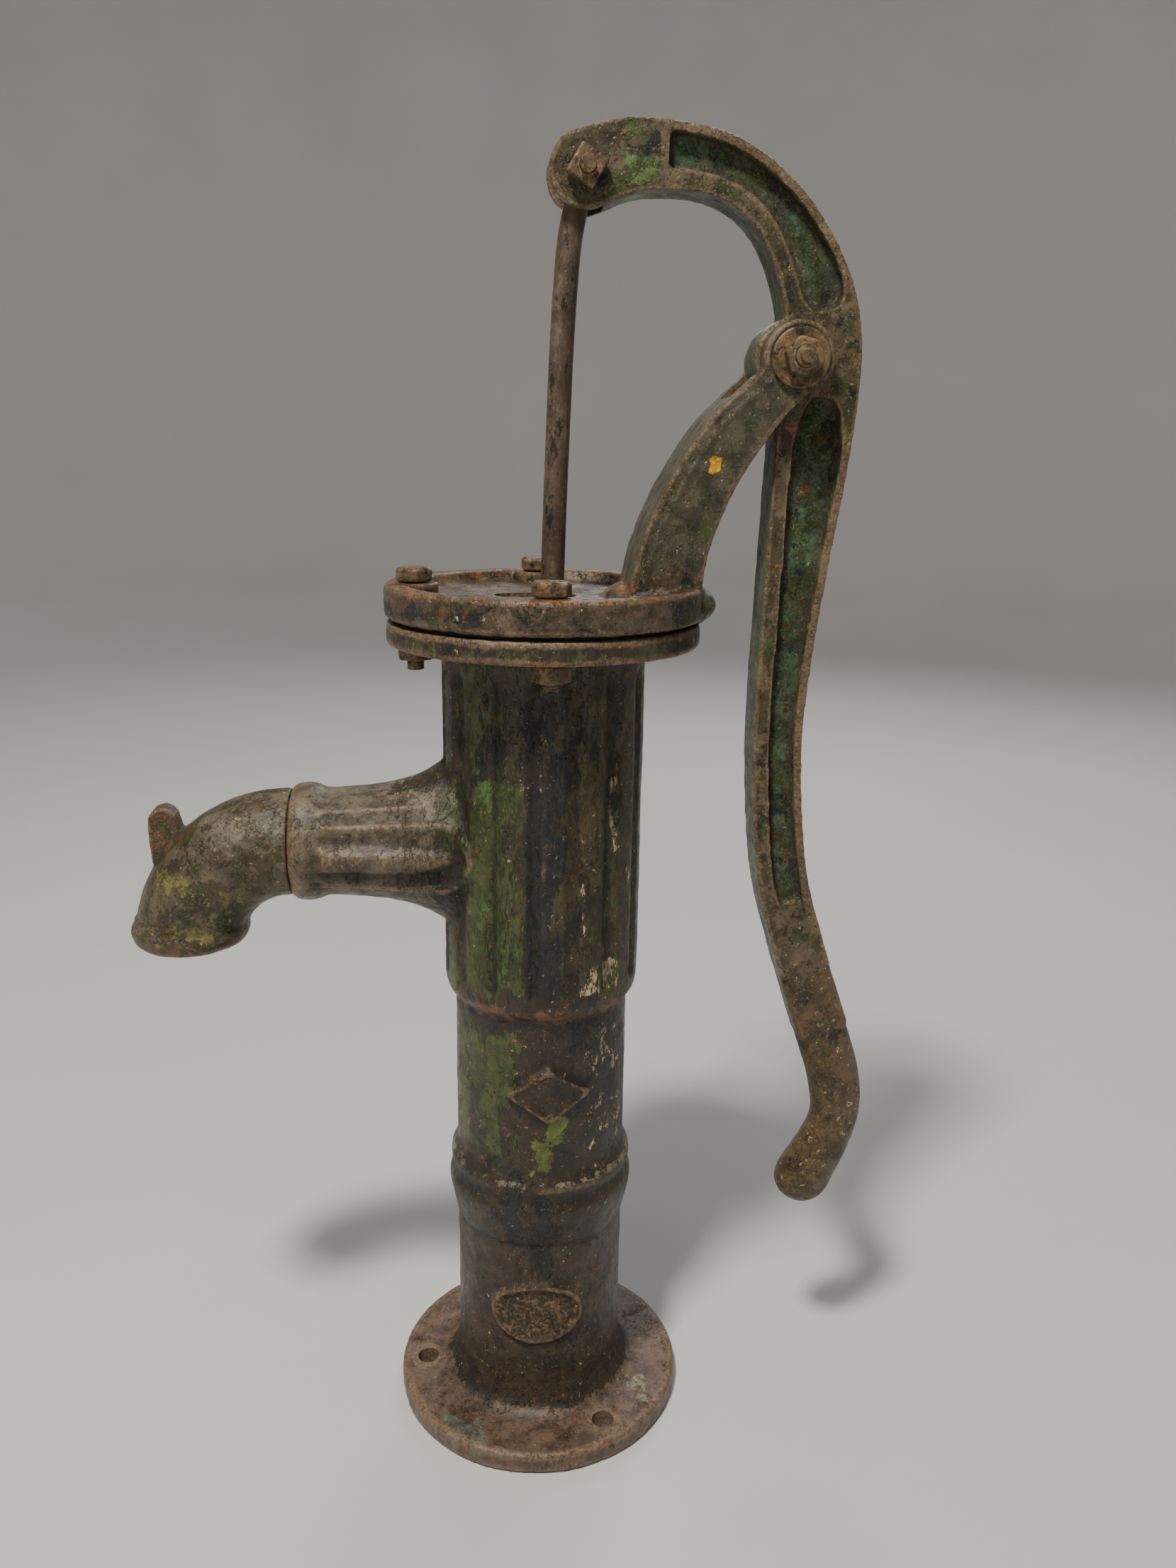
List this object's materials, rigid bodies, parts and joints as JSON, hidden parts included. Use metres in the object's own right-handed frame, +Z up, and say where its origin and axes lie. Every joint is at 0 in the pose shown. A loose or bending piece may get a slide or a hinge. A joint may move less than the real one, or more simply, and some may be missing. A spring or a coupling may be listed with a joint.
{
  "type": "hand well pump",
  "caption": "Cast-iron lever hand pump with a bolted foot, a lined barrel, a down-turned spout with a bucket hook, and a swan-neck handle.",
  "frame": {"origin": "centre of the foot's underside, on the barrel's axis, over the suction opening", "axes": "+Z up the barrel's axis, -X towards the spout, +X towards the hanging handle, -Y towards the viewer who sees the spout on the left"},
  "size_m": [0.4232, 0.172, 0.7241],
  "materials": {
    "old_paint_iron": "cast iron under old dark green-brown paint, weathered, rust at the edges",
    "handle_iron": "cast iron, worn old green paint with rust-brown edges",
    "rusty_steel": "rusted steel",
    "worn_steel": "dull, worn, lightly rusted bar",
    "leather": "oiled, wet leather",
    "gasket": "dark sealing ring",
    "brass": "dull brass"
  },
  "bodies": {
    "pump_body": {"barrel": "old_paint_iron", "spout_nose": "old_paint_iron", "cover_gasket": "gasket", "cover_bracket": "old_paint_iron", "cover_bolt_left": "rusty_steel", "cover_bolt_front": "rusty_steel", "cover_bolt_rear": "rusty_steel", "cover_nut_left": "rusty_steel", "cover_nut_front": "rusty_steel", "cover_nut_rear": "rusty_steel", "fulcrum_pin": "rusty_steel", "fulcrum_washer": "rusty_steel", "fulcrum_nut": "rusty_steel", "foot_valve_seat": "brass", "foot_valve_clamp": "brass"},
    "handle": {"handle": "handle_iron", "rod_pin": "rusty_steel", "rod_pin_nut": "rusty_steel"},
    "rod": {"piston_rod": "worn_steel", "rod_nut_upper": "rusty_steel", "rod_washer": "rusty_steel", "rod_nut_lower": "rusty_steel"},
    "bucket": {"bucket_body": "brass", "cup_leather": "leather", "bucket_follower": "brass"},
    "bucket_valve": {"bucket_valve": "brass"},
    "foot_valve": {"foot_valve_flap": "leather", "foot_valve_weight": "rusty_steel", "foot_valve_screw": "brass"}
  },
  "joints": [
    {"name": "handle_pivot", "type": "hinge", "parent": "pump_body", "child": "handle", "pos_m": [0.1263, 0, 0.615], "axis": [0, -1, 0], "range_deg": [0, 45]},
    {"name": "rod_pivot", "type": "hinge", "parent": "handle", "child": "rod", "pos_m": [0.0186, 0, 0.7003], "axis": [0, -1, 0], "range_deg": [-40, 0]},
    {"name": "bucket_stroke", "type": "slide", "parent": "pump_body", "child": "bucket", "axis": [0, 0, -1], "range_m": [0, 0.1005]},
    {"name": "bucket_valve_lift", "type": "slide", "parent": "bucket", "child": "bucket_valve", "axis": [0, 0, 1], "range_m": [0, 0.008]},
    {"name": "foot_valve_swing", "type": "hinge", "parent": "pump_body", "child": "foot_valve", "pos_m": [0, 0.031, 0.0266], "axis": [-1, 0, 0], "range_deg": [0, 35]}
  ],
  "couplings": [
    {"joint": "rod_pivot", "follows": "handle_pivot", "ratio": -0.881},
    {"joint": "bucket_stroke", "follows": "handle_pivot", "m_per_rad": 0.1265}
  ]
}
